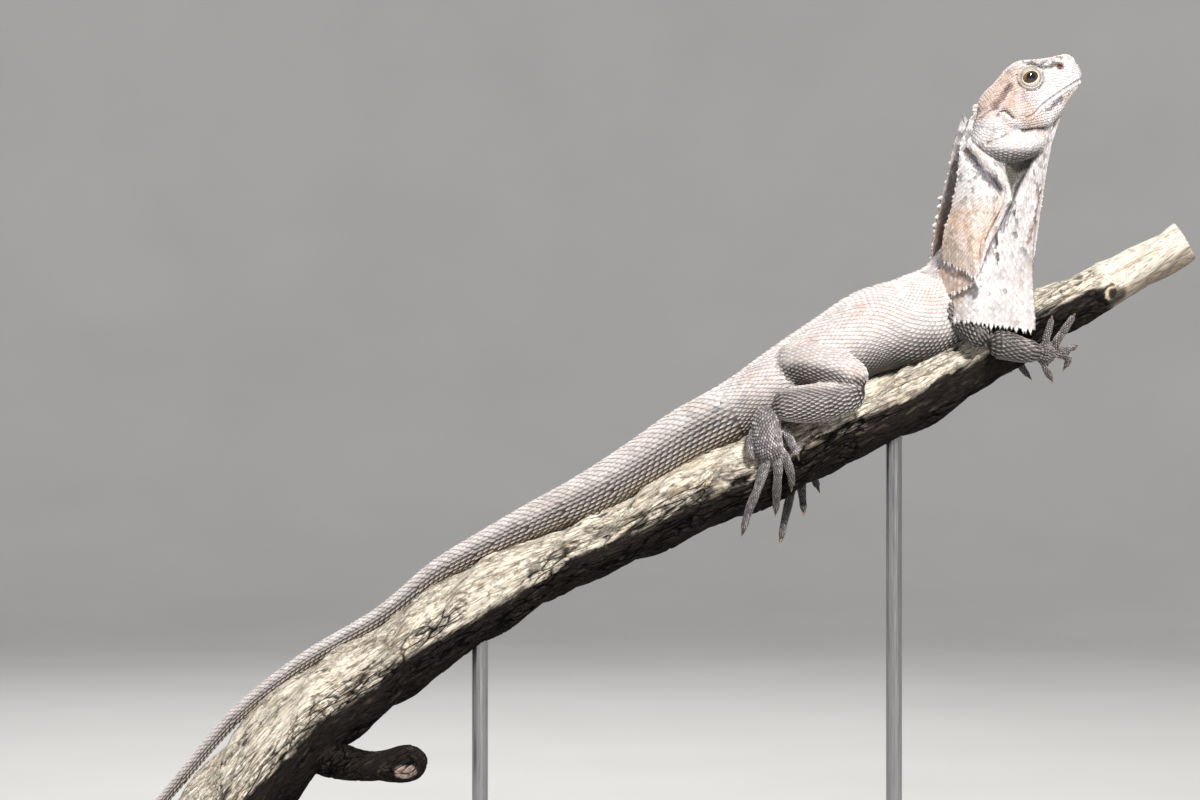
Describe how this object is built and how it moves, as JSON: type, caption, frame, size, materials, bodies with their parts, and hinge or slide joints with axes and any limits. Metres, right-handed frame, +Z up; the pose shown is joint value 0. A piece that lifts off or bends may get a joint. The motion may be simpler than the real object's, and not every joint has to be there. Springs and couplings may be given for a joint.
{
  "type": "frilled lizard on a branch perch",
  "caption": "Life-size still frilled lizard with its frill folded, gripping a cut length of branch held up on a plain display stand.",
  "frame": {"origin": "centre of the stand base's underside, on the surface that the stand rests on", "axes": "+X the way the lizard faces and up along the branch, +Z up, -Y the lizard's right side, which the picture shows"},
  "size_m": [0.5711, 0.17, 0.4773],
  "materials": {
    "skin": "dry keeled scales, pale pinkish grey over grey-brown, faintly glossy on the keels",
    "frill": "thin scaly skin, pale grey with dark mottling, tan and orange towards the rear",
    "eye": "wet dark eye with an orange-brown iris",
    "claw": "horn, dark brown and smooth",
    "branch": "weathered bare wood and flaking bark with dark fissures",
    "stand_base": "satin black powder coat",
    "stand_rod": "brushed steel"
  },
  "bodies": {
    "root": {"head": "skin", "neck": "skin", "torso": "skin", "tail_base": "skin", "tail_middle": "skin", "tail_end": "skin", "tail_tip": "skin", "frill_right": "frill", "frill_left": "frill", "eye_right": "eye", "eye_left": "eye", "upper_arm_right": "skin", "forearm_right": "skin", "hand_right": "skin", "upper_arm_left": "skin", "forearm_left": "skin", "hand_left": "skin", "thigh_right": "skin", "shank_right": "skin", "foot_right": "skin", "thigh_left": "skin", "shank_left": "skin", "foot_left": "skin", "branch": "branch", "stand_base": "stand_base", "stand_rod_low": "stand_rod", "stand_rod_high": "stand_rod"}
  },
  "joints": []
}
